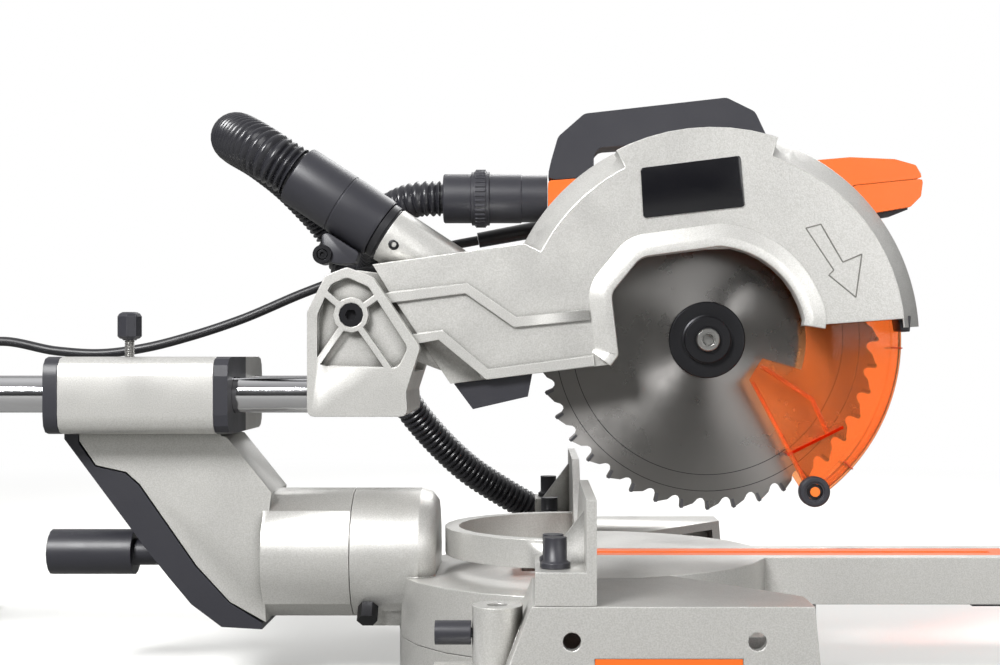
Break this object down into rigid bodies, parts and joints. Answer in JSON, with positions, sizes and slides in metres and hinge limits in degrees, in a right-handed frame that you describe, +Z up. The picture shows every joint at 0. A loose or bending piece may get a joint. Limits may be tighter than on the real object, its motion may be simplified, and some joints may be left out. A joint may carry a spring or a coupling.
{
  "type": "sliding compound mitre saw",
  "caption": "Sliding compound mitre saw with turning table, split fence, tilting twin-rail slide, pivoting head, guarded circular blade, handles and dust hoses.",
  "frame": {"origin": "centre of the saw's footprint box on the bench, measured without the free cord and the free hose", "axes": "+X to the operator along the blade at rest, +Y to the motor's side, +Z up"},
  "size_m": [1.1008, 0.565, 0.4353],
  "materials": {
    "cast_aluminium": "fine sand-cast grain, satin",
    "black_plastic": "fine moulded texture",
    "orange_plastic": "satin moulded",
    "amber_plastic": "clear tinted, polished",
    "chrome_steel": "ground and chromed",
    "steel": "zinc plated",
    "dark_steel": "blackened",
    "blade_steel": "circular ground",
    "rubber": "matt",
    "hose_rubber": "glossy ribbed"
  },
  "bodies": {
    "base": {"base_casting": "cast_aluminium", "foot_1": "rubber", "foot_2": "rubber", "foot_3": "rubber", "foot_4": "rubber", "wing_grip_left": "orange_plastic", "wing_grip_right": "orange_plastic", "mitre_scale": "steel", "pivot_bolt": "steel", "fence": "cast_aluminium", "fence_bolt_1": "black_plastic", "fence_bolt_2": "black_plastic", "fence_bolt_3": "black_plastic", "fence_bolt_4": "black_plastic", "hose_connector": "black_plastic", "cord_coil": "rubber", "plug": "rubber"},
    "clamp_left": {"clamp_knob_left": "black_plastic"},
    "clamp_right": {"clamp_knob_right": "black_plastic"},
    "table": {"turntable": "cast_aluminium", "kerf_plate": "orange_plastic", "stop_bolt": "steel"},
    "mitre_knob": {"mitre_lock_knob": "black_plastic"},
    "detent": {"detent_lever": "black_plastic"},
    "bevel_frame": {"bevel_arm": "cast_aluminium", "bevel_cover": "black_plastic", "housing_cap_rear": "black_plastic", "housing_cap_front": "black_plastic"},
    "bevel_lever": {"bevel_lock_handle": "black_plastic"},
    "slide_knob": {"slide_lock_knob": "black_plastic"},
    "carriage": {"rail_near": "chrome_steel", "rail_far": "chrome_steel", "rail_end_plate": "black_plastic", "carriage_bracket": "cast_aluminium", "pivot_shaft": "dark_steel"},
    "lock_pin": {"head_lock_pin": "black_plastic"},
    "head": {"head_casting": "cast_aluminium", "dust_chute": "black_plastic", "exhaust_cuff": "black_plastic", "motor_housing": "black_plastic", "gear_case": "cast_aluminium", "carry_handle": "black_plastic", "front_handle": "orange_plastic", "handle_grip": "orange_plastic", "port_coupling": "black_plastic", "dust_hose": "hose_rubber", "port_hose": "hose_rubber", "outlet_hose": "hose_rubber", "hose_junction": "black_plastic", "strain_relief": "rubber", "power_cord": "rubber", "return_spring": "dark_steel"},
    "lower_guard": {"lower_guard": "amber_plastic"},
    "roller": {"guard_roller": "black_plastic"},
    "blade": {"blade": "blade_steel", "outer_flange": "dark_steel", "spindle": "steel"},
    "armature": {"armature": "steel"},
    "trigger": {"trigger": "black_plastic"},
    "lock_button": {"spindle_lock_button": "black_plastic"}
  },
  "joints": [
    {"name": "mitre", "type": "hinge", "parent": "base", "child": "table", "pos_m": [0.11065, 0, 0.06], "axis": [0, 0, 1], "range_deg": [-46, 46]},
    {"name": "mitre_knob_turn", "type": "hinge", "parent": "table", "child": "mitre_knob", "pos_m": [0.44865, 0, 0.075], "axis": [1, 0, 0], "range_deg": [-45, 360]},
    {"name": "detent_press", "type": "hinge", "parent": "table", "child": "detent", "pos_m": [0.39905, 0, 0.053], "axis": [0, 1, 0], "range_deg": [0, 15], "stiffness_Nm_per_rad": 1.2, "springref_deg": -8.59},
    {"name": "clamp_left_turn", "type": "hinge", "parent": "base", "child": "clamp_left", "pos_m": [0.01455, -0.205, 0.069], "axis": [1, 0, 0], "range_deg": [0, 360]},
    {"name": "clamp_right_turn", "type": "hinge", "parent": "base", "child": "clamp_right", "pos_m": [0.01455, 0.205, 0.069], "axis": [1, 0, 0], "range_deg": [0, 360]},
    {"name": "bevel", "type": "hinge", "parent": "table", "child": "bevel_frame", "pos_m": [-0.05735, 0, 0.092], "axis": [1, 0, 0], "range_deg": [0, 45]},
    {"name": "bevel_lever_turn", "type": "hinge", "parent": "bevel_frame", "child": "bevel_lever", "pos_m": [-0.18835, 0, 0.092], "axis": [1, 0, 0], "range_deg": [0, 120]},
    {"name": "slide_knob_turn", "type": "hinge", "parent": "bevel_frame", "child": "slide_knob", "pos_m": [-0.21635, -0.04, 0.2375], "axis": [0, 0, 1], "range_deg": [0, 360]},
    {"name": "carriage_slide", "type": "slide", "parent": "bevel_frame", "child": "carriage", "axis": [-1, 0, 0], "range_m": [-0.19, 0.05]},
    {"name": "lock_pin_pull", "type": "slide", "parent": "carriage", "child": "lock_pin", "axis": [0, 1, 0], "range_m": [0, 0.012]},
    {"name": "head_pivot", "type": "hinge", "parent": "carriage", "child": "head", "pos_m": [-0.05435, 0, 0.267], "axis": [0, -1, 0], "range_deg": [-7, 35], "stiffness_Nm_per_rad": 14, "springref_deg": 91.67, "deforming": ["outlet_hose", "power_cord", "return_spring"]},
    {"name": "guard_swing", "type": "hinge", "parent": "head", "child": "lower_guard", "pos_m": [0.20365, 0, 0.25], "axis": [0, 1, 0], "range_deg": [-18, 85]},
    {"name": "roller_spin", "type": "hinge", "parent": "lower_guard", "child": "roller", "pos_m": [0.28011, -0.0168, 0.13874], "axis": [0, 1, 0], "continuous": true},
    {"name": "armature_spin", "type": "hinge", "parent": "head", "child": "armature", "pos_m": [0.18286, 0, 0.27662], "axis": [0, 1, 0], "continuous": true},
    {"name": "blade_spin", "type": "hinge", "parent": "head", "child": "blade", "pos_m": [0.20365, 0, 0.25], "axis": [0, 1, 0], "continuous": true},
    {"name": "trigger_pull", "type": "hinge", "parent": "head", "child": "trigger", "pos_m": [0.33765, 0.043, 0.359], "axis": [0, -1, 0], "range_deg": [0, 6], "stiffness_Nm_per_rad": 1.5, "springref_deg": -11.46},
    {"name": "lock_button_press", "type": "slide", "parent": "head", "child": "lock_button", "axis": [-1, 0, 0], "range_m": [0, 0.003], "stiffness_N_per_m": 600, "springref_m": -0.004}
  ],
  "couplings": [
    {"joint": "guard_swing", "follows": "head_pivot", "ratio": 2.4},
    {"joint": "armature_spin", "follows": "blade_spin", "ratio": -4}
  ]
}
